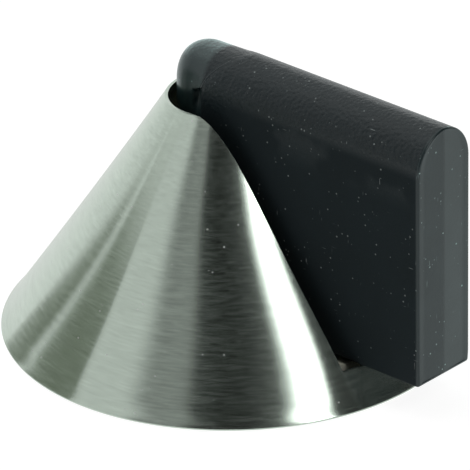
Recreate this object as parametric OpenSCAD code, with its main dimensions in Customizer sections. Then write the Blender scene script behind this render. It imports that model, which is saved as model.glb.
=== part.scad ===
// Free-standing door wedge: a brushed steel cone with a U-shaped cut in its wall, and a
// moulded rubber bumper that drops into the cut from above and is screwed down from below.
// Z is up with the floor at z = 0, the cone's axis is Z, and the bumper's fin points along +X.

/* [Cone shell] */
// Radius of the cone's foot
foot_r = 45; // [42:0.5:50]
// Height of the cone's wall, from foot rim to mouth
wall_h = 49.8; // [48:0.1:52]
// Radius of the mouth
mouth_r = 11.9; // [11.9:0.1:12.4]
// Thickness of the sheet
sheet = 0.5; // [0.4:0.05:0.6]
// How far the wall bows inward from a straight cone, halfway up
wall_bow = 0.3; // [0:0.05:0.5]
// Half width of the cut for the fin
slot_half = 11.6; // [11.2:0.1:11.6]
// Height of the cut's lower edge above the foot rim
slot_foot = 6.7; // [6.2:0.1:6.7]
// Width of the foot's turned-in flange
flange_w = 4; // [3:0.5:5]

/* [Rubber bumper] */
// Thickness of the fin
fin_t = 14.8; // [13.8:0.1:14.8]
// Distance from the cone's axis to the fin's flat end
fin_reach = 53.9; // [52:0.1:60]
// Height of the fin's top above the floor
fin_top = 59.3; // [58:0.1:62]
// How far the two arcs of the fin's top are centred past its middle, which gives it a low ridge
fin_ridge = 0.6; // [0.2:0.1:1]
// Height of the fin's lower edge above the floor
fin_foot = 7.1; // [7.1:0.1:7.6]
// Rounding of the fin's edges at its end
fin_round = 0.6; // [0.4:0.1:1.6]
// Radius of the rounded nose that stands in the mouth
nose_r = 6.4; // [6:0.1:6.4]
// How far the nose's centre lies behind the cone's axis
nose_back = 4.8; // [4.2:0.1:4.8]
// Height of the nose's top above the floor
nose_top = 58.7; // [58:0.1:59]
// Height at which the nose's side starts to round over, above the floor
nose_mid = 50.6; // [50:0.1:52]
// Fullness of the nose's top: 2 is an ellipse, and more is squarer
nose_full = 2.4; // [2:0.1:3]
// Height of the nose's underside above the floor
nose_foot = 43.6; // [42:0.2:45]
// Rounding of the nose's lower edge
nose_edge = 4; // [3:0.5:5]

/* [Base] */
// Height that the pad stands out below the foot rim
pad_proud = 0.3; // [0.2:0.1:0.3]
// Thickness of the base plate
plate_t = 2; // [1.8:0.1:2.4]
// Thickness of the ballast's disc
disc_t = 3; // [2.6:0.1:3]
// Radius of the ballast's disc
disc_r = 36; // [34:0.5:37]
// Radius of the ballast's tapered core, at its foot and at its top
core_r = [26, 15]; // [14:0.5:26]
// Height of the ballast's core above the floor
core_top = 32; // [26:0.5:32]

/* [Fasteners] */
// Nominal diameter of the clamp screw
clamp_d = 6; // [5:1:6]
// Length of the clamp screw
clamp_l = 16; // [12:1:16]
// Nominal diameter of the ballast screws
fix_d = 4; // [3:1:4]
// Length of the ballast screws
fix_l = 10; // [8:1:12]
// Distance of the ballast screws from the cone's axis
fix_ring = 18; // [16:0.5:20]

/* [Hidden] */
$fn = 96;

eps = 0.01;
// running gap between pieces that must slip together
gap = 0.1;
wall_steps = 10;
arc_steps = 16;
// sheet thickness measured level, through the sloping wall
sheet_level = sheet * norm([wall_h, foot_r - mouth_r]) / wall_h;

plate_z = pad_proud + sheet;
plate_r = wall_r(plate_z + plate_t) - sheet_level - gap;
disc_z = plate_z + plate_t;
floor_z = disc_z + disc_t;
pad_r = foot_r - flange_w - 0.3;
groove_w = 1.4;
groove_d = 0.4;
groove_rings = [14, 24, 34];

fin_half = fin_t / 2;
channel_half = fin_half + 0.3;
fin_arc_r = fin_half + fin_ridge;
// height at which the fin's flat sides end and its two top arcs start
fin_crown = fin_top - sqrt(pow(fin_arc_r, 2) - pow(fin_ridge, 2));

insert_r = 4.5;
insert_rim_r = 5.8;
insert_rim_t = 1;
insert_l = 14;
thread_gap = 0.05;
fix_angles = [90, 180, 270];
fix_depth = 3;

// Outer radius of the wall at height z above the floor: a straight cone less a shallow bow
function wall_r(z) =
    let (t = (z - pad_proud) / wall_h)
    foot_r + (mouth_r - foot_r) * t - wall_bow * 4 * t * (1 - t);

// Points up the wall's outside, each moved inward by dr
function wall_line(dr, from_z) = [
    for (i = [0 : wall_steps])
        let (z = from_z + (pad_proud + wall_h - from_z) * i / wall_steps)
        [wall_r(z) - dr, z]
];

// Points along an arc about a centre, from one angle to another
function arc(centre, r, from, to) = [
    for (i = [0 : arc_steps])
        let (a = from + (to - from) * i / arc_steps)
        centre + r * [cos(a), sin(a)]
];

function backwards(list) = [for (i = [len(list) - 1 : -1 : 0]) list[i]];

// A countersunk screw with its flat head's face at z = 0 and its point upward
module countersunk_screw(d, l) {
    difference() {
        union() {
            cylinder(h = l, d = d);
            cylinder(h = d * 0.44, r1 = d * 0.94, r2 = d / 2);
        }
        translate([0, 0, -eps])
            cylinder(h = d * 0.3, d = d * 0.77, $fn = 6);
    }
}

// The hole for that screw through anything between z = 0 and h
module countersunk_hole(d, h) {
    translate([0, 0, -eps])
        cylinder(h = h + 2 * eps, r = d / 2 + gap);
    translate([0, 0, -eps])
        cylinder(h = d * 0.44 + gap, r1 = d * 0.94 + gap, r2 = d / 2 + gap);
}

module at_ballast_screws() {
    for (a = fix_angles)
        rotate(a) translate([fix_ring, 0, 0]) children();
}

// Spun sheet cone with its foot turned in, open at the mouth and down one side
module cone_shell() {
    outside = wall_line(0, pad_proud);
    inside = wall_line(sheet_level, plate_z);
    foot = [[foot_r - flange_w, plate_z], [foot_r - flange_w, pad_proud]];
    color("silver")
    difference() {
        rotate_extrude()
            polygon(concat(outside, backwards(inside), foot));
        translate([0, -slot_half, pad_proud + slot_foot])
            cube([foot_r, 2 * slot_half, wall_h]);
    }
}

// Side outline of the fin in X and Z, with its end edges rounded
module fin_side() {
    translate([0, fin_foot])
        square([fin_reach - fin_round, fin_top - fin_foot]);
    translate([0, fin_foot + fin_round])
        square([fin_reach, fin_top - fin_foot - fin_round]);
    translate([fin_reach - fin_round, fin_foot + fin_round])
        circle(r = fin_round, $fn = 48);
}

// Cross-section of the fin in Y and Z: flat sides under two arcs that meet in a low ridge
module fin_section() {
    ridge_angle = acos(fin_ridge / fin_arc_r);
    side = arc([-fin_ridge, fin_crown], fin_arc_r, 0, ridge_angle);
    polygon(concat(
        [[-fin_half, fin_foot], [fin_half, fin_foot]],
        side,
        [for (p = backwards(side)) if (p[0] > eps) [-p[0], p[1]]]
    ));
}

module fin() {
    intersection() {
        rotate([90, 0, 0])
            linear_extrude(height = fin_t, center = true) fin_side();
        rotate([90, 0, 90])
            linear_extrude(height = fin_reach) fin_section();
    }
}

// Half outline of the nose in radius and height: rounded lower edge, upright side, full top
function nose_line() = concat(
    [[0, nose_foot]],
    arc([nose_r - nose_edge, nose_foot + nose_edge], nose_edge, -90, 0),
    [for (p = arc([0, 0], 1, 0, 90))
        [nose_r * pow(max(p[0], 0), 2 / nose_full),
         nose_mid + (nose_top - nose_mid) * pow(p[1], 2 / nose_full)]]
);

// The nose: that outline turned half round its own axis, and run forward into the fin
module nose() {
    line = nose_line();
    across = concat(line, [for (p = backwards(line)) if (p[0] > eps) [-p[0], p[1]]]);
    translate([-nose_back, 0, 0]) {
        rotate(90) rotate_extrude(angle = 180) polygon(line);
        rotate([90, 0, 90])
            linear_extrude(height = nose_back + eps) polygon(across);
    }
}

// Upright post on the cone's axis, which stands in the ballast
module neck() {
    translate([0, 0, floor_z])
        cylinder(h = fin_crown - floor_z, r = fin_half);
}

module rubber_bumper() {
    color("darkslategray")
    difference() {
        union() {
            fin();
            nose();
            neck();
        }
        translate([0, 0, floor_z - eps]) {
            cylinder(h = insert_l + eps, r = insert_r);
            cylinder(h = insert_rim_t + eps, r = insert_rim_r);
        }
    }
}

// Threaded insert moulded into the foot of the neck
module bumper_insert() {
    color("goldenrod")
    translate([0, 0, floor_z])
    difference() {
        union() {
            cylinder(h = insert_l, r = insert_r);
            cylinder(h = insert_rim_t, r = insert_rim_r);
        }
        translate([0, 0, -eps])
            cylinder(h = insert_l + 2 * eps, r = clamp_d / 2 + thread_gap);
    }
}

// Turned weight: a disc on the base plate, and a tapered core that holds the neck and the fin
module ballast_weight() {
    color("lightgray")
    difference() {
        union() {
            translate([0, 0, disc_z]) cylinder(h = disc_t, r = disc_r);
            translate([0, 0, disc_z])
                cylinder(h = core_top - disc_z, r1 = core_r[0], r2 = core_r[1]);
        }
        translate([0, 0, floor_z]) cylinder(h = core_top, r = channel_half);
        translate([0, -channel_half, floor_z])
            cube([core_r[0], 2 * channel_half, core_top]);
        translate([0, 0, plate_z]) countersunk_hole(clamp_d, plate_t + disc_t);
        at_ballast_screws()
            translate([0, 0, disc_z - eps])
                cylinder(h = plate_z + fix_l + fix_depth - disc_z, r = fix_d / 2 + thread_gap);
    }
}

// Steel disc that closes the cone above its turned-in foot
module base_plate() {
    color("gainsboro")
    translate([0, 0, plate_z])
    difference() {
        cylinder(h = plate_t, r = plate_r);
        countersunk_hole(clamp_d, plate_t);
        at_ballast_screws() countersunk_hole(fix_d, plate_t);
    }
}

module clamp_screw() {
    color("lightsteelblue")
    translate([0, 0, plate_z]) countersunk_screw(clamp_d, clamp_l);
}

module ballast_screws() {
    color("lightsteelblue")
    translate([0, 0, plate_z])
        at_ballast_screws() countersunk_screw(fix_d, fix_l);
}

// Rubber disc glued under the base plate, with ring grooves in its underside
module antislip_pad() {
    color("dimgray")
    difference() {
        cylinder(h = plate_z, r = pad_r);
        for (r = groove_rings)
            translate([0, 0, -eps])
            difference() {
                cylinder(h = groove_d + eps, r = r + groove_w / 2);
                translate([0, 0, -eps])
                    cylinder(h = groove_d + 3 * eps, r = r - groove_w / 2);
            }
    }
}

cone_shell();
rubber_bumper();
bumper_insert();
ballast_weight();
base_plate();
clamp_screw();
ballast_screws();
antislip_pad();
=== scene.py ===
"""Looks of a free-standing door wedge: a brushed steel cone with a moulded rubber bumper."""

import math

import bmesh
import bpy
import numpy as np
from bpy.props import FloatProperty, FloatVectorProperty, PointerProperty
from mathutils import Matrix, Vector


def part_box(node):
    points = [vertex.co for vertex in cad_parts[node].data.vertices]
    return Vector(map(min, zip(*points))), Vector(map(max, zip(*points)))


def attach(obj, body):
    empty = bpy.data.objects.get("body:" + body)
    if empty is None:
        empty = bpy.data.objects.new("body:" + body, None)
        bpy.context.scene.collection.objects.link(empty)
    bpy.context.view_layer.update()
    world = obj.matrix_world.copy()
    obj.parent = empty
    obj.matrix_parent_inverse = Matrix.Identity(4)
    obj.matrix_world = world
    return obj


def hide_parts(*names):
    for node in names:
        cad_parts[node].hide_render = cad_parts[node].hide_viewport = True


bl_info = {
    "name": "Cone door wedge",
    "version": (1, 0, 0),
    "blender": (4, 5, 0),
    "location": "View3D > Sidebar > Door wedge",
    "description": "Builds the visible surfaces, finishes and studio of a cone door wedge",
    "category": "Object",
}

MM = 0.001
BODY = "root"
# edges that turn more than these are shaded sharp
SHARP_STEEL = math.radians(35)
SHARP_RUBBER = math.radians(50)
# each half of the bumper's end face falls back by this angle from its parting line
END_DRAFT = math.radians(1.5)
# lamps: degrees to the right of the camera, elevation, distance in metres and size in metres
STRIP_LAMP = (43.5, 40, 0.8, (0.19, 0.5))
TOP_LAMP = (-100, 70, 0.9, (0.5, 0.5))
# the floor's half width in metres, and its tones to the camera, to reflections and to bounced light
FLOOR_HALF = 6.0
FLOOR_GLOW, FLOOR_SHADED, FLOOR_MIRRORED, FLOOR_PAPER = 0.88, 0.3, 0.9, 0.8

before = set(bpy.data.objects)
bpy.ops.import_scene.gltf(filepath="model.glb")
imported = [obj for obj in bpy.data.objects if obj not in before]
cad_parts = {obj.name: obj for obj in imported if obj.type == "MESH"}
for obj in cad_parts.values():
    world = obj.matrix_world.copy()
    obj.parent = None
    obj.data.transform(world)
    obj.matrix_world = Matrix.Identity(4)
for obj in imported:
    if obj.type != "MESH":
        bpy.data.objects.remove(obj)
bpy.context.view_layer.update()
SHELL_LOW, SHELL_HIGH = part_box("cone_shell")
BUMPER_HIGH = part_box("rubber_bumper")[1]


# ---------------------------------------------------------------- settings


def length(name, value_mm, description):
    """A length setting, given in millimetres and kept in metres."""
    return FloatProperty(
        name=name, description=description, default=value_mm * MM, min=0, subtype="DISTANCE", unit="LENGTH"
    )


def colour(name, value, description):
    """A colour setting."""
    return FloatVectorProperty(
        name=name, description=description, default=value, min=0, max=1, size=3, subtype="COLOR"
    )


def share(name, value, description):
    """A plain number between nothing and one."""
    return FloatProperty(name=name, description=description, default=value, min=0, max=1, subtype="FACTOR")


def turn(name, degrees, description):
    """An angle setting, given in degrees."""
    return FloatProperty(
        name=name, description=description, default=math.radians(degrees), subtype="ANGLE", unit="ROTATION"
    )


def level(name, value, description):
    """The strength of a light, with no unit."""
    return FloatProperty(name=name, description=description, default=value, min=0)


class DoorWedgeShell(bpy.types.PropertyGroup):
    mouth_radius: length("Mouth radius", 11.9, "Outer radius of the cone's open top")
    wall_bow: length("Wall bow", 0.3, "How far the wall bows in from a straight cone")
    sheet: length("Sheet", 0.5, "Thickness of the steel sheet")
    mouth_drop: length("Mouth drop", 0.9, "How much lower the mouth's back lies than its front")
    foot_corner: length("Foot corner", 0.3, "Rounding where the wall turns in at the foot")
    flange: length("Flange", 4.0, "Width of the turned-in foot")
    cut_half: length("Cut half width", 11.6, "Half the width of the cut that the fin passes through")
    cut_foot: length("Cut foot", 7.0, "Height of the cut's lower edge above the floor")
    edge: length("Edge rounding", 0.08, "Rounding along the sheet's cut edges")
    spring: length("Spring", 1.8, "How far the wall's free edges bend in beside the cut, per square radian")
    spring_from: turn("Spring starts", 108, "Angle from the fin at which the wall starts to bend in")
    steel: colour("Steel", (0.57, 0.66, 0.58), "Colour of the brushed steel")
    roughness: share("Roughness", 0.2, "Mean roughness of the brushed steel")
    brushing: share("Brushing", 1.0, "How much the brushing stretches a reflection")


class DoorWedgeBumper(bpy.types.PropertyGroup):
    nose_radius: length("Nose radius", 6.4, "Radius of the rounded nose in the mouth")
    nose_back: length("Nose set-back", 4.8, "How far the nose's centre lies behind the cone's axis")
    nose_top: length("Nose top", 58.7, "Height of the nose's top above the floor")
    nose_mid: length("Nose middle", 50.6, "Height at which the nose's side starts to round over")
    nose_full: FloatProperty(
        name="Nose fullness", description="2 is an ellipse, more is squarer", default=2.4
    )
    ridge: length("Ridge", 0.6, "How far the arcs of the fin's top are centred past its middle")
    nose_foot: length("Nose underside", 43.6, "Height of the nose's underside above the floor")
    nose_edge: length("Nose lower edge", 4.0, "Rounding of the nose's lower edge")
    fin_foot: length("Fin underside", 7.1, "Height of the fin's lower edge above the floor")
    end_edge: length("End edge", 0.4, "Rounding around the fin's flat end")
    end_foot_edge: length("End foot edge", 0.6, "Rounding where the end meets the underside")
    foot_edge: length("Foot edge", 0.45, "Rounding along the fin's lower edges")
    pocket: length("Pocket", 1.2, "Depth of the small pocket under the nose's side")
    rubber: colour("Rubber", (0.007, 0.015, 0.018), "Colour of the black rubber")
    roughness: share("Roughness", 0.8, "Mean roughness of the rubber")


class DoorWedgeBase(bpy.types.PropertyGroup):
    zinc: colour("Zinc", (0.72, 0.72, 0.60), "Colour of the zinc-plated weight")
    sheet_zinc: colour("Sheet zinc", (0.55, 0.56, 0.57), "Colour of the base plate")
    brass: colour("Brass", (0.70, 0.52, 0.25), "Colour of the threaded insert")
    screw: colour("Screw steel", (0.45, 0.46, 0.48), "Colour of the screws")
    pad: colour("Pad", (0.02, 0.02, 0.021), "Colour of the anti-slip pad")


class DoorWedgeStage(bpy.types.PropertyGroup):
    azimuth: turn("Azimuth", -47.97, "Direction of the camera around the cone, from the fin")
    elevation: turn("Elevation", 27.26, "Height of the camera as an angle")
    roll: turn("Roll", 0.757, "Turn of the camera about its line of sight")
    distance: length("Distance", 1525.5, "Distance of the camera")
    aim_height: length("Aim height", 27.5, "Height of the point that the camera looks past")
    aside: length("Aside", 0.8, "How far the camera is moved to its right")
    below: length("Below", 7.6, "How far the camera is moved down")
    lens: FloatProperty(
        name="Lens", description="Focal length of the camera", default=605.7, subtype="DISTANCE_CAMERA"
    )
    walls: level("Walls", 1.0, "Strength of the studio's walls")
    strip: level("Strip lamp", 1.4, "Power of the strip lamp in watts")
    top: level("Top lamp", 0.6, "Power of the top lamp in watts")


# ---------------------------------------------------------------- meshes


def smooth(value, start, end):
    """Nothing below start, one above end, and 3t² - 2t³ between them."""
    t = np.clip((value - start) / (end - start), 0, 1)
    return t * t * (3 - 2 * t)


def joined(*runs):
    """One row of numbers from several runs, each of which starts where the one before it ended."""
    return np.concatenate([runs[0]] + [run[1:] for run in runs[1:]])


def surface(grids):
    """The points and four-cornered faces of several grids of points, each rows x columns x 3."""
    points, faces, start = [], [], 0
    for grid in grids:
        rows, columns = grid.shape[:2]
        corner = start + np.arange(rows * columns).reshape(rows, columns)
        quads = [corner[:-1, :-1], corner[:-1, 1:], corner[1:, 1:], corner[1:, :-1]]
        points.append(grid.reshape(-1, 3))
        faces.append(np.stack(quads, -1).reshape(-1, 4))
        start += rows * columns
    return np.concatenate(points), np.concatenate(faces)


def piece(name, grids, sharp, material):
    """A closed object from grids of points whose edges meet: merged, faced outward and shaded smooth."""
    points, faces = surface(grids)
    mesh = bpy.data.meshes.new(name)
    mesh.vertices.add(len(points))
    mesh.vertices.foreach_set("co", points.astype(np.float32).ravel())
    mesh.loops.add(faces.size)
    mesh.loops.foreach_set("vertex_index", faces.astype(np.int32).ravel())
    mesh.polygons.add(len(faces))
    mesh.polygons.foreach_set("loop_start", np.arange(0, faces.size, 4, dtype=np.int32))
    mesh.update(calc_edges=True)
    shape = bmesh.new()
    shape.from_mesh(mesh)
    bmesh.ops.remove_doubles(shape, verts=shape.verts, dist=0.002 * MM)
    bmesh.ops.recalc_face_normals(shape, faces=shape.faces)
    shape.to_mesh(mesh)
    shape.free()
    mesh.validate()
    mesh.shade_smooth()
    mesh.set_sharp_from_angle(angle=sharp)
    thing = bpy.data.objects.new(name, mesh)
    bpy.context.scene.collection.objects.link(thing)
    mesh.materials.append(material)
    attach(thing, BODY)
    return thing


# ---------------------------------------------------------------- materials


class Value:
    """A shader socket that takes part in sums, so a formula on it adds its Math nodes."""

    def __init__(self, tree, socket):
        self.tree = tree
        self.socket = socket

    def _math(self, operation, *values):
        return self.tree.node("ShaderNodeMath", {"operation": operation}, dict(enumerate(values)))

    def __add__(self, other):
        return self._math("ADD", self, other)

    def __radd__(self, other):
        return self._math("ADD", other, self)

    def __sub__(self, other):
        return self._math("SUBTRACT", self, other)

    def __rsub__(self, other):
        return self._math("SUBTRACT", other, self)

    def __mul__(self, other):
        return self._math("MULTIPLY", self, other)

    def __rmul__(self, other):
        return self._math("MULTIPLY", other, self)

    def __truediv__(self, other):
        return self._math("DIVIDE", self, other)

    def __rtruediv__(self, other):
        return self._math("DIVIDE", other, self)

    def __abs__(self):
        return self._math("ABSOLUTE", self)

    def least(self, other):
        return self._math("MINIMUM", self, other)

    def most(self, other):
        return self._math("MAXIMUM", self, other)

    def root(self):
        return self._math("SQRT", self)


class Tree:
    """A node tree that is written as formulas."""

    def __init__(self, owner):
        owner.use_nodes = True
        self.tree = owner.node_tree
        self.tree.nodes.clear()

    def node(self, kind, settings=None, inputs=None, output=0):
        """Adds a node, sets its settings first and then the values or links of its sockets."""
        node = self.tree.nodes.new(kind)
        for key, value in (settings or {}).items():
            if key == "stops":
                self._stops(node.color_ramp, value)
            else:
                setattr(node, key, value)
        for key, value in (inputs or {}).items():
            if isinstance(value, Value):
                self.tree.links.new(value.socket, node.inputs[key])
            else:
                node.inputs[key].default_value = value
        found = [o for o in node.outputs if o.name == output] if isinstance(output, str) else None
        sockets = found or [o for o in node.outputs if o.enabled]
        return Value(self, sockets[0 if found else output]) if sockets else None

    @staticmethod
    def _stops(ramp, stops):
        while len(ramp.elements) < len(stops):
            ramp.elements.new(1.0)
        for element, (place, tone) in zip(ramp.elements, stops):
            element.position = place
            element.color = (*tone, 1.0) if isinstance(tone, tuple) else (tone, tone, tone, 1.0)

    def place(self):
        """The point on the piece, in metres in the frame shared by all the pieces."""
        return self.node("ShaderNodeTexCoord", output="Object")

    def parts(self, vector):
        """The three numbers of a vector."""
        first = self.node("ShaderNodeSeparateXYZ", {}, {0: vector})
        node = first.socket.node
        return [Value(self, node.outputs[i]) for i in range(3)]

    def vector(self, x, y, z):
        return self.node("ShaderNodeCombineXYZ", {}, {0: x, 1: y, 2: z})

    def noise(self, vector, scale, detail=2.0, roughness=0.5):
        values = {"Vector": vector, "Scale": scale, "Detail": detail, "Roughness": roughness}
        return self.node("ShaderNodeTexNoise", {}, values)

    def cells(self, vector, scale, feature="F1"):
        return self.node("ShaderNodeTexVoronoi", {"feature": feature}, {"Vector": vector, "Scale": scale})

    def step(self, value, start, end, low=0.0, high=1.0):
        """A smooth step from low to high as value goes from start to end."""
        inputs = {"Value": value, "From Min": start, "From Max": end, "To Min": low, "To Max": high}
        return self.node("ShaderNodeMapRange", {"interpolation_type": "SMOOTHSTEP"}, inputs)

    def mix(self, factor, first, second):
        """A colour between two, each a colour link or three numbers."""
        first = first if isinstance(first, Value) else (*first, 1.0)
        second = second if isinstance(second, Value) else (*second, 1.0)
        node = self.tree.nodes.new("ShaderNodeMix")
        node.data_type = "RGBA"
        for socket, value in ((node.inputs[0], factor), (node.inputs[6], first), (node.inputs[7], second)):
            if isinstance(value, Value):
                self.tree.links.new(value.socket, socket)
            else:
                socket.default_value = value
        return Value(self, node.outputs[2])

    def bump(self, height, distance, strength=1.0):
        values = {"Height": height, "Distance": distance, "Strength": strength}
        return self.node("ShaderNodeBump", {}, values)

    def finish(self, shader, kind="ShaderNodeOutputMaterial"):
        self.node(kind, {}, {"Surface": shader})


def principled(tree, colour_link, **sockets):
    """The usual surface shader. Words in socket names are joined by an underscore."""
    values = {"Base Color": colour_link}
    values.update({key.replace("_", " "): value for key, value in sockets.items()})
    return tree.node("ShaderNodeBsdfPrincipled", {}, values)


def shades(tone, darker, lighter):
    """A darker and a lighter shade of a colour."""
    return tuple(v * darker for v in tone), tuple(min(1.0, v * lighter) for v in tone)


def brushed_steel(settings):
    """Stainless steel brushed around the cone: hairlines that are long around it and short up it."""
    hairs, streaks_up, clouds, grits, dusts = 3200.0, 900.0, 60.0, 300.0, 520.0  # per metre
    hairs_around, streaks_around = 9.0, 4.0  # per radian
    hair_depth, quarter_turn = 0.003 * MM, 0.25
    dust_white = (0.8, 0.82, 0.8)
    material = bpy.data.materials.new("brushed_stainless")
    tree = Tree(material)
    place = tree.place()
    x, y, z = tree.parts(place)
    radius = (x * x + y * y).root()

    def band(around, up):
        return tree.vector(x / radius * around, y / radius * around, z * up)

    hairlines = tree.noise(band(hairs_around, hairs), 1.0, 2.0, 0.6)
    streaks = tree.noise(band(streaks_around, streaks_up), 1.0, 2.0)
    cloud = tree.noise(place, clouds, 2.0)
    tone = (hairlines - 0.5) * 1.1 + (streaks - 0.5) * 0.4 + (cloud - 0.5) * 0.15
    base = tree.mix(tone + 0.5, *shades(settings.steel, 0.84, 1.16))
    grit = tree.noise(place, grits, 1.0)
    dust = tree.step(tree.cells(place, dusts), 0.10, 0.05) * tree.step(grit, 0.52, 0.60)
    base = tree.mix(dust, base, dust_white)
    shader = principled(
        tree,
        base,
        Metallic=(1 - tree.step(hairlines, 0.42, 0.62) * 0.05) * (1 - dust * 0.8),
        Roughness=settings.roughness + (hairlines - 0.5) * 0.06,
        Anisotropic=settings.brushing,
        Anisotropic_Rotation=quarter_turn,
        Normal=tree.bump(hairlines, hair_depth, 1.0),
    )
    tree.finish(shader)
    return material


def moulded_rubber(settings, end):
    """Black moulded rubber.

    The flat side is dull. The nose is smooth and glossier, the end face has a gloss with white specks
    and scratches, and the round top has a coarse glittering grain.
    """
    grains, fines, clouds, warps, spots_in = 1450.0, 4200.0, 90.0, 260.0, 760.0  # per metre
    grain_depth = 0.16 * MM
    dust_white = (0.5, 0.55, 0.54)
    material = bpy.data.materials.new("black_rubber")
    tree = Tree(material)
    place = tree.place()
    x, y, z = tree.parts(place)
    grain = tree.cells(place, grains, "SMOOTH_F1")
    fine = tree.noise(place, fines, 2.0)
    cloud = tree.noise(place, clouds, 2.0)
    warp = tree.noise(place, warps, 2.0)
    # regions: the nose behind the crease, the end face, the round top and the rough skin under it
    nose = tree.step(x, -0.5 * MM, -2.2 * MM)
    face = tree.step(x, end - 0.9 * MM, end - 0.3 * MM)
    body = (1 - nose) * (1 - face)
    top = tree.step(z, 50.5 * MM, 53.5 * MM)
    top = top * (1 - nose * tree.step(z, 57.5 * MM, 56.5 * MM)) * (1 - face)
    skirt = tree.step(z, 43 * MM, 50 * MM) * tree.step(cloud, 0.42, 0.55) * body * 0.5
    rough_skin = top.most(skirt)
    # specks of dust: sparse on the sides, dense on the end face
    crowd = tree.step(warp, 0.50, 0.62)
    specks = tree.step(tree.cells(place, spots_in), 0.17, 0.09) * crowd * (0.45 + face * 0.55)
    # scratches: thin lines from two stretched noises, one upright and one level
    upright = tree.noise(tree.vector(x * 2600.0, y * 2600.0, z * 260.0), 1.0, 1.0)
    flat = tree.noise(tree.vector(x * 300.0, y * 300.0, z * 3000.0), 1.0, 1.0)
    lines = tree.step(upright, 0.74, 0.80).most(tree.step(flat, 0.76, 0.82))
    lines = lines * tree.step(warp, 0.47, 0.60)
    parting = tree.step(abs(y), 0.16 * MM, 0.04 * MM) * face
    far_half = tree.step(y, -0.1 * MM, 0.1 * MM)
    base = tree.mix(cloud, *shades(settings.rubber, 0.75, 1.25))
    base = tree.mix(specks.most(lines * 0.35), base, dust_white)
    height = grain * (rough_skin + face * 0.12 + 0.03) + fine * (rough_skin * 0.3 + 0.12)
    height = height - parting * 0.6 + lines * 0.15
    gloss = nose.most(face * (0.6 + far_half * 0.25)).most(rough_skin * 0.1) * (0.8 + cloud * 0.4)
    smoother = rough_skin * 0.5 + nose * 0.3 + face * 0.3
    shader = principled(
        tree,
        base,
        Roughness=settings.roughness - smoother + (fine - 0.5) * 0.2,
        Normal=tree.bump(height, grain_depth, 1.0),
        Specular_IOR_Level=0.3,
        Coat_Weight=gloss.least(1.0),
        Coat_Roughness=0.28,
        Coat_IOR=1.5,
        Coat_Tint=(0.7, 1.0, 0.97, 1.0),
    )
    tree.finish(shader)
    return material


def plated(name, tone, roughness, metallic=1.0, grain=900.0):
    """A plated or turned metal: mottled colour and roughness with a fine uneven skin."""
    material = bpy.data.materials.new(name)
    tree = Tree(material)
    place = tree.place()
    mottle = tree.noise(place, grain, 3.0)
    cloud = tree.noise(place, grain / 12, 2.0)
    base = tree.mix(mottle * 0.6 + cloud * 0.4, *shades(tone, 0.8, 1.15))
    rough = roughness + (mottle - 0.5) * 0.2
    normal = tree.bump(mottle, 0.02 * MM, 0.6)
    tree.finish(principled(tree, base, Metallic=metallic, Roughness=rough, Normal=normal))
    return material


# ---------------------------------------------------------------- cone shell


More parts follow.
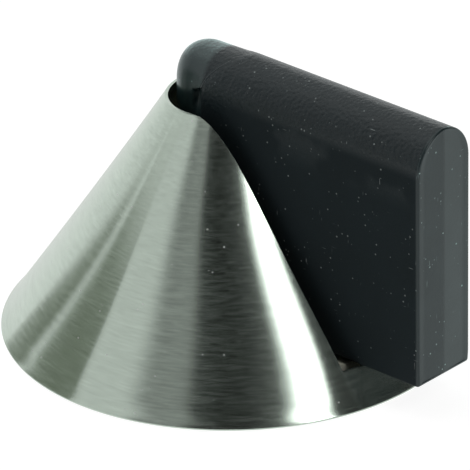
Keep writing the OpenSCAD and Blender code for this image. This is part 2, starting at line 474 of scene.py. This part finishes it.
def shell_grids(settings):
    """Grids of the sheet cone.

    Outside radius at height z: foot - (foot - mouth) t - bow 4t(1 - t), with t from foot to mouth, flared
    near the foot so that its rounded corner keeps the full foot radius. The inside is that less the
    sheet's level thickness. The rows near the mouth sink towards the back, so that the mouth slopes. The
    cut's sides are the planes |Y| = cut half width, so a row at radius r runs around from asin(cut / r)
    to a full turn less that. The free edges then bend in by spring x a² / 2, where a is the angle past
    the start of the bend, more with height.
    """
    foot_r, foot_z, top_z = SHELL_HIGH.x, SHELL_LOW.z, SHELL_HIGH.z
    rise, slope_in = top_z - foot_z, foot_r - settings.mouth_radius
    corner, sheet, cut = settings.foot_corner, settings.sheet, settings.cut_half
    level_sheet = sheet * math.hypot(rise, slope_in) / rise
    flare_height = 3 * MM

    def wall(z):
        t = (z - foot_z) / rise
        return foot_r - slope_in * t - settings.wall_bow * 4 * t * (1 - t)

    lean = math.atan2(wall(foot_z) - wall(foot_z + 1 * MM), 1 * MM)
    centre_z = foot_z + corner
    centre_r = float(wall(centre_z)) - corner / math.cos(lean)
    lost = foot_r - (centre_r + corner)

    def flared(z):
        return wall(z) + lost * (1 - smooth(z, foot_z, foot_z + flare_height))

    centre_r += lost * float(1 - smooth(centre_z, foot_z, foot_z + flare_height))
    angle = np.linspace(-math.pi / 2, lean, 10)
    arc_r, arc_z = centre_r + corner * np.cos(angle), centre_z + corner * np.sin(angle)
    flange_r = np.linspace(foot_r - settings.flange, arc_r[0], 4)
    low_z = np.linspace(arc_z[-1], settings.cut_foot, 14)
    high_z = np.linspace(settings.cut_foot, top_z, 84)
    outer_low = (joined(flange_r, arc_r, flared(low_z)), joined(np.full(4, foot_z), arc_z, low_z))
    inner_z = np.linspace(foot_z + sheet, settings.cut_foot, 14)
    inner_r = flared(inner_z) - level_sheet
    ledge_r = np.linspace(foot_r - settings.flange, inner_r[0], 4)
    inner_low = (joined(ledge_r, inner_r), joined(np.full(4, foot_z + sheet), inner_z))
    outer_high = (flared(high_z), high_z)
    inner_high = (flared(high_z) - level_sheet, high_z)

    around, across = np.linspace(0, 1, 289), np.linspace(0, 1, 25)

    def cut_angle(r):
        return np.arcsin(np.minimum(1, cut / r))[:, None]

    def ring(profile, closed):
        r, z = profile
        start = cut_angle(r)
        turn_of = [start + (2 * math.pi - 2 * start) * around]
        if closed:
            turn_of.append(2 * math.pi - start + 2 * start * across[1:])
        phi = np.concatenate(turn_of, 1)
        near_top = smooth(z, top_z - 10 * MM, top_z)[:, None]
        sunk = settings.mouth_drop * near_top * (1 - np.cos(phi)) / 2
        from_fin = math.pi - np.abs(math.pi - phi % (2 * math.pi))
        bent = np.maximum(0, settings.spring_from - from_fin) ** 2 / 2
        bent = settings.spring * bent * smooth(z, 8 * MM, 36 * MM)[:, None]
        radius = r[:, None] + sunk * slope_in / rise - bent
        return np.stack([radius * np.cos(phi), radius * np.sin(phi), z[:, None] - sunk], -1)

    def sill(profile):
        start = cut_angle(profile[0][-1:])
        phi = -start + 2 * start * across
        r, z = profile[0][-1], profile[1][-1]
        return np.stack([r * np.cos(phi), r * np.sin(phi), z + 0 * phi], -1)[0]

    low_out, low_in = ring(outer_low, True), ring(inner_low, True)
    high_out, high_in = ring(outer_high, False), ring(inner_high, False)
    return [
        low_out,
        low_in,
        high_out,
        high_in,
        np.stack([low_out[0], low_in[0]]),
        np.stack([high_out[-1], high_in[-1]]),
        np.stack([high_out[:, 0], high_in[:, 0]]),
        np.stack([high_out[:, -1], high_in[:, -1]]),
        np.stack([sill(outer_low), sill(inner_low)]),
    ]


class DOORWEDGE_OT_shell(bpy.types.Operator):
    """Build the brushed steel cone with its cut and its turned-in foot"""

    bl_idname = "doorwedge.shell"
    bl_label = "Cone shell"

    def execute(self, context):
        settings = context.scene.door_wedge_shell
        grids, steel = shell_grids(settings), brushed_steel(settings)
        shell = piece("brushed_cone", grids, SHARP_STEEL, steel)
        bevel = shell.modifiers.new("edges", "BEVEL")
        bevel.width = settings.edge
        bevel.segments = 2
        bevel.limit_method = "ANGLE"
        bevel.angle_limit = SHARP_STEEL
        bevel.harden_normals = True
        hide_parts("cone_shell")
        return {"FINISHED"}


# ---------------------------------------------------------------- rubber bumper


def bumper_grid(settings):
    """Grid of the rubber bumper.

    Rows climb the half section: out along the underside, round the lower edge, up the flat side, and over
    the top to the middle. The fin's top is an arc of radius half width + ridge, centred a ridge past the
    middle; the nose's is a superellipse. Columns follow the outline in plan: out from the middle of the
    end face, round its edge, back along the side, round the nose, and the same way back on the other
    side. A point is station + half width x direction. At the end face the section shrinks by d while the
    station is end - e + e cos, d being e - e sin, which rounds the edge with radius e. Behind the axis the
    section blends from the fin's to the nose's, and below the nose its stations close up, by the circle
    that rounds the nose's lower edge.
    """
    half, end, top, foot = BUMPER_HIGH.y, BUMPER_HIGH.x, BUMPER_HIGH.z, settings.fin_foot
    ridge, back, nose_r = settings.ridge, settings.nose_back, settings.nose_radius
    arc_r = half + ridge
    crown = top - math.sqrt(arc_r**2 - ridge**2)
    foot_edge = settings.foot_edge
    crease = -1.0 * MM

    # columns: station, share of the half width, bend around the end's edge, run along the outline
    face = np.linspace(0, 1, 9)
    bend = np.linspace(0, math.pi / 2, 9)[1:]
    side_x = joined(
        np.linspace(end - settings.end_edge, 10 * MM, 60),
        np.linspace(10 * MM, 1 * MM, 37),
        np.linspace(1 * MM, crease + 0.3 * MM, 9),
        np.linspace(crease + 0.3 * MM, crease - 0.3 * MM, 16),
        np.linspace(crease - 0.3 * MM, -back, 26),
    )[1:]
    nose_turn = np.linspace(0, math.pi, 81)[1:-1]
    count, middle = len(face) + len(bend) + len(side_x), len(nose_turn) // 2 + 1
    station = np.concatenate([np.full(len(face) + len(bend), end), side_x])
    part = np.concatenate([face, np.ones(count - len(face))])
    curve = np.concatenate([np.zeros(len(face)), bend, np.full(len(side_x), math.pi / 2)])
    run = np.concatenate([station, -back - nose_turn[:middle] * nose_r])
    run = np.concatenate([run, run[: count + middle - 1][::-1]])[None, :]
    station = np.concatenate([station, np.full(len(nose_turn), -back), station[::-1]])[None, :]
    part = np.concatenate([part, np.ones(len(nose_turn)), part[::-1]])[None, :]
    curve = np.concatenate([curve, np.full(len(nose_turn), math.pi / 2), curve[::-1]])[None, :]
    heading = np.concatenate([np.zeros(count), nose_turn, np.full(count, math.pi)])[None, :]

    # rows: kinds of the half section from the middle of the underside to the ridge
    under = np.linspace(0, 1, 5)[:-1]
    curl = np.linspace(0, math.pi / 2, 6)[:-1]
    side_z = joined(
        np.linspace(foot + foot_edge, 42 * MM, 36),
        np.linspace(42 * MM, 48 * MM, 22),
        np.linspace(48 * MM, crown, 20),
    )
    over = np.linspace(0, 1, 49)[1:]
    zero = np.zeros
    out = np.concatenate([under, np.ones(len(curl) + len(side_z) + len(over))])[:, None]
    upright = np.full(len(side_z) + len(over), math.pi / 2)
    turned = np.concatenate([zero(len(under)), curl, upright])[:, None]
    share_up = (side_z - foot - foot_edge) / (crown - foot - foot_edge)
    climb = np.concatenate([zero(len(under) + len(curl)), share_up, np.ones(len(over))])[:, None]
    lift = np.concatenate([zero(len(under) + len(curl) + len(side_z)), over])[:, None]

    # end edge: its radius grows towards the underside
    low_share = 1 - smooth(climb, 0, 0.04)
    edge = settings.end_edge + (settings.end_foot_edge - settings.end_edge) * low_share
    inset = edge * (1 - np.sin(curve))
    along = station - edge * (1 - np.cos(curve))

    # half section of the fin
    h, low = half - inset, foot + inset
    angle = lift * math.acos(ridge / arc_r)
    fin_w = out * (h - foot_edge * (1 - np.sin(turned)))
    fin_w = np.where(lift > 0, (arc_r * np.cos(angle) - ridge) * h / half, fin_w)
    fin_z = low + foot_edge * (1 - np.cos(turned)) + climb * (crown - low - foot_edge)
    fin_z = np.where(lift > 0, crown + arc_r * np.sin(angle) * h / half, fin_z)

    # half section of the nose, a little narrower, past a sharp step where two mould parts met
    power = 2 / settings.nose_full
    quarter = lift * math.pi / 2
    nose_w = out * (nose_r - foot_edge * (1 - np.sin(turned)))
    nose_w = np.where(lift > 0, nose_r * np.abs(np.cos(quarter)) ** power, nose_w)
    nose_z = foot + foot_edge * (1 - np.cos(turned)) + climb * (settings.nose_mid - foot - foot_edge)
    nose_rise = settings.nose_top - settings.nose_mid
    nose_z = np.where(lift > 0, settings.nose_mid + nose_rise * np.sin(quarter) ** power, nose_z)
    blend = 1 - smooth(run, -back, 1.5 * MM)
    width = fin_w + (nose_w - fin_w) * blend
    height = fin_z + (nose_z - fin_z) * blend
    upper = smooth(height, 44 * MM, 50 * MM)
    on_nose = 1 - smooth(run, crease - 0.1 * MM, crease + 0.02 * MM)
    bead = np.exp(-(((run - crease - 0.12 * MM) / (0.1 * MM)) ** 2))
    width = width * (1 - (0.022 * on_nose - 0.007 * bead) * upper)

    # pocket under the nose's side
    ledge = 52.7 * MM + 0.5 * (run - crease)
    dent = smooth(run, -3.6 * MM, -2.2 * MM) * (1 - smooth(run, -0.85 * MM, -0.55 * MM))
    dent = dent * (1 - smooth(height, ledge - 0.25 * MM, ledge + 0.05 * MM))
    dent = dent * smooth(height, 46 * MM, 51 * MM)
    width = width - settings.pocket * dent * smooth(width, 0, 4 * MM)

    # the crease leans forward over the top
    pull = smooth(run, -back, crease) * (1 - smooth(run, crease, 10 * MM))
    forward = 5.6 * MM * smooth(lift, 0, 1.1) * pull

    # behind the axis the stations close up below the nose
    nose_edge = settings.nose_edge
    drop = np.clip(settings.nose_foot + nose_edge - height, 0, nose_edge)
    reach = nose_r + back - nose_edge + np.sqrt(nose_edge**2 - drop**2)
    close = np.clip((reach - nose_r) / back, 0, 1) * (height > settings.nose_foot)
    along = np.where(along < 0, along * close, along)

    spread = width * part
    draft = np.where(part < 1, np.abs(spread) * math.tan(END_DRAFT), 0)
    px = along + forward - draft - spread * np.sin(heading)
    py = -spread * np.cos(heading)
    return np.stack([px, py, height], -1)


class DOORWEDGE_OT_bumper(bpy.types.Operator):
    """Build the moulded rubber bumper with its rounded nose"""

    bl_idname = "doorwedge.bumper"
    bl_label = "Rubber bumper"

    def execute(self, context):
        settings = context.scene.door_wedge_bumper
        rubber = moulded_rubber(settings, BUMPER_HIGH.x)
        bumper = piece("moulded_bumper", [bumper_grid(settings)], SHARP_RUBBER, rubber)
        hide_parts("rubber_bumper")
        return {"FINISHED"}


# ---------------------------------------------------------------- base and fasteners


def dress(node, material):
    """Gives a CAD node another material and leaves its mesh alone."""
    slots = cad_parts[node].material_slots
    for slot in slots:
        slot.material = material


class DOORWEDGE_OT_base(bpy.types.Operator):
    """Finish the weight, the base plate, the pad and the fasteners"""

    bl_idname = "doorwedge.base"
    bl_label = "Base and fasteners"

    def execute(self, context):
        settings = context.scene.door_wedge_base
        screw = plated("screw_steel", tuple(settings.screw), 0.35, grain=2500.0)
        dress("ballast_weight", plated("zinc_plate", tuple(settings.zinc), 0.55, metallic=0.25))
        dress("base_plate", plated("zinc_sheet", tuple(settings.sheet_zinc), 0.4))
        dress("bumper_insert", plated("brass", tuple(settings.brass), 0.3, grain=2500.0))
        dress("clamp_screw", screw)
        dress("ballast_screws", screw)
        dress("antislip_pad", plated("pad_rubber", tuple(settings.pad), 0.7, metallic=0.0))
        return {"FINISHED"}


# ---------------------------------------------------------------- stage

# studio walls: degrees to the right of the camera, and how bright that direction is
WALLS = (
    (-180, 0.86),
    (-145, 0.86),
    (-130, 0.76),
    (-90, 0.74),
    (-80, 0.66),
    (-60, 0.64),
    (-56, 0.50),
    (-50, 0.21),
    (-46, 0.20),
    (-36, 0.26),
    (-27.5, 0.24),
    (-24, 0.06),
    (-20, 0.012),
    (-4, 0.008),
    (8, 0.02),
    (18, 0.05),
    (27, 0.10),
    (35, 0.40),
    (51, 0.25),
    (56, 0.03),
    (110, 0.03),
    (130, 0.3),
    (150, 0.8),
    (180, 0.86),
)


def studio_walls(settings):
    """The world: white to the camera, and bands of light and dark around the object to all else."""
    world = bpy.data.worlds.new("studio")
    bpy.context.scene.world = world
    tree = Tree(world)
    direction = tree.node("ShaderNodeTexCoord", output="Generated")
    x, y, z = tree.parts(direction)
    right = Vector((math.cos(settings.azimuth), math.sin(settings.azimuth)))
    ahead = x * right.x + y * right.y
    aside = y * right.x - x * right.y
    bearing = tree.node("ShaderNodeMath", {"operation": "ARCTAN2"}, {0: aside, 1: ahead})
    angle = bearing / (2 * math.pi) + 0.5
    stops = [((degrees + 180) / 360, tone) for degrees, tone in WALLS]
    bands = tree.node("ShaderNodeValToRGB", {"stops": stops}, {"Fac": angle})
    camera = tree.node("ShaderNodeLightPath", output="Is Camera Ray")
    seen = tree.mix(camera, bands, (1.0, 1.0, 1.0))
    strength = camera + (1 - camera) * settings.walls
    tree.finish(tree.node("ShaderNodeBackground", {}, {0: seen, 1: strength}), "ShaderNodeOutputWorld")


def camera_axes(settings):
    """Right, up and back of the camera, with its roll."""
    a, e = settings.azimuth, settings.elevation
    back = Vector((math.cos(a) * math.cos(e), math.sin(a) * math.cos(e), math.sin(e)))
    right = Vector((-math.sin(a), math.cos(a), 0))
    up = back.cross(right)
    c, s = math.cos(settings.roll), math.sin(settings.roll)
    return right * c - up * s, up * c + right * s, back


def add_camera(settings):
    right, up, back = camera_axes(settings)
    camera = bpy.data.objects.new("camera", bpy.data.cameras.new("camera"))
    camera.data.lens = settings.lens
    camera.data.clip_start = 0.1
    camera.data.clip_end = 20
    aim = Vector((0, 0, settings.aim_height))
    place = aim + right * settings.aside - up * settings.below + back * settings.distance
    camera.matrix_world = Matrix.Translation(place) @ Matrix((right, up, back)).transposed().to_4x4()
    bpy.context.scene.collection.objects.link(camera)
    bpy.context.scene.camera = camera


def add_lamp(settings, name, degrees, elevation, distance, size, watts):
    """A soft rectangular lamp that faces the cone, at an angle to the right of the camera."""
    lamp = bpy.data.objects.new(name, bpy.data.lights.new(name, "AREA"))
    lamp.data.shape = "RECTANGLE"
    lamp.data.size, lamp.data.size_y = size
    lamp.data.energy = watts
    a, e = settings.azimuth + math.radians(degrees), math.radians(elevation)
    away = Vector((math.cos(a) * math.cos(e), math.sin(a) * math.cos(e), math.sin(e)))
    aim = Vector((0, 0, settings.aim_height))
    facing = away.to_track_quat("Z", "Y").to_matrix().to_4x4()
    lamp.matrix_world = Matrix.Translation(aim + away * distance) @ facing
    lamp.visible_camera = False
    bpy.context.scene.collection.objects.link(lamp)


def add_floor():
    """A wide floor: white to the camera with a faint shadow, pale to reflections."""
    material = bpy.data.materials.new("studio_floor")
    tree = Tree(material)
    path = tree.node("ShaderNodeLightPath", output="Is Camera Ray").socket.node
    camera = Value(tree, path.outputs["Is Camera Ray"])
    glossy = Value(tree, path.outputs["Is Glossy Ray"])
    clear = Value(tree, path.outputs["Is Transmission Ray"])
    paper = tree.node("ShaderNodeBsdfDiffuse", {}, {"Color": (*(FLOOR_PAPER,) * 3, 1)})
    thin = tree.node("ShaderNodeBsdfDiffuse", {}, {"Color": (*(FLOOR_SHADED,) * 3, 1)})
    glow = tree.node("ShaderNodeEmission", {}, {"Color": (1, 1, 1, 1), "Strength": FLOOR_GLOW})
    seen = tree.node("ShaderNodeAddShader", {}, {0: glow, 1: thin})
    bright = tree.node("ShaderNodeEmission", {}, {"Color": (*(FLOOR_MIRRORED,) * 3, 1), "Strength": 1.0})
    other = tree.node("ShaderNodeMixShader", {}, {0: glossy.most(clear), 1: paper, 2: bright})
    tree.finish(tree.node("ShaderNodeMixShader", {}, {0: camera, 1: other, 2: seen}))
    ramp = np.linspace(-FLOOR_HALF, FLOOR_HALF, 3)
    x, y = np.meshgrid(ramp, ramp)
    points, faces = surface([np.stack([x, y, 0 * x], -1)])
    mesh = bpy.data.meshes.new("floor")
    mesh.from_pydata(points.tolist(), [], faces.tolist())
    mesh.materials.append(material)
    floor = bpy.data.objects.new("floor", mesh)
    bpy.context.scene.collection.objects.link(floor)


def add_flag():
    """A small dark studio flag near the cone that only its reflections show.

    It is a leaning four-cornered board, split by a narrow gap, with its corners given in millimetres.
    """
    material = bpy.data.materials.new("studio_flag")
    tree = Tree(material)
    tree.finish(tree.node("ShaderNodeEmission", {}, {"Color": (0.16, 0.18, 0.14, 1), "Strength": 1.0}))
    foot = np.array([[-100, -25, 0], [-78, -49, 0], [-72, -56, 0], [-40, -91, 0]]) * MM
    head = np.array([[-97, -52, 52], [-82, -62, 60], [-77, -66, 62], [-52, -85, 64]]) * MM
    points, faces = surface([np.stack([foot[:2], head[:2]]), np.stack([foot[2:], head[2:]])])
    mesh = bpy.data.meshes.new("flag")
    mesh.from_pydata(points.tolist(), [], faces.tolist())
    mesh.materials.append(material)
    flag = bpy.data.objects.new("flag", mesh)
    for kind in ("camera", "diffuse", "transmission", "shadow"):
        setattr(flag, "visible_" + kind, False)
    bpy.context.scene.collection.objects.link(flag)


class DOORWEDGE_OT_stage(bpy.types.Operator):
    """Set up the floor, the studio light and the camera"""

    bl_idname = "doorwedge.stage"
    bl_label = "Stage"

    def execute(self, context):
        settings = context.scene.door_wedge_stage
        context.scene.view_settings.view_transform = "Standard"
        studio_walls(settings)
        add_camera(settings)
        add_floor()
        add_flag()
        add_lamp(settings, "strip_lamp", *STRIP_LAMP, settings.strip)
        add_lamp(settings, "top_lamp", *TOP_LAMP, settings.top)
        return {"FINISHED"}


# ---------------------------------------------------------------- panel and registration


class DOORWEDGE_PT_panel(bpy.types.Panel):
    """Lists the settings and the steps that build the door wedge"""

    bl_label = "Door wedge"
    bl_idname = "DOORWEDGE_PT_panel"
    bl_space_type = "VIEW_3D"
    bl_region_type = "UI"
    bl_category = "Door wedge"

    def draw(self, context):
        for group, kind, step in STEPS:
            box = self.layout.box()
            for name in kind.__annotations__:
                box.prop(getattr(context.scene, group), name)
            box.operator(step.bl_idname)


STEPS = (
    ("door_wedge_stage", DoorWedgeStage, DOORWEDGE_OT_stage),
    ("door_wedge_shell", DoorWedgeShell, DOORWEDGE_OT_shell),
    ("door_wedge_bumper", DoorWedgeBumper, DOORWEDGE_OT_bumper),
    ("door_wedge_base", DoorWedgeBase, DOORWEDGE_OT_base),
)


def register():
    for group, kind, step in STEPS:
        bpy.utils.register_class(kind)
        bpy.utils.register_class(step)
        setattr(bpy.types.Scene, group, PointerProperty(type=kind))
    bpy.utils.register_class(DOORWEDGE_PT_panel)


def unregister():
    bpy.utils.unregister_class(DOORWEDGE_PT_panel)
    for group, kind, step in reversed(STEPS):
        delattr(bpy.types.Scene, group)
        bpy.utils.unregister_class(step)
        bpy.utils.unregister_class(kind)


def main():
    """Builds everything in order."""
    register()
    bpy.ops.doorwedge.stage()
    bpy.ops.doorwedge.shell()
    bpy.ops.doorwedge.bumper()
    bpy.ops.doorwedge.base()


if __name__ == "__main__":
    main()
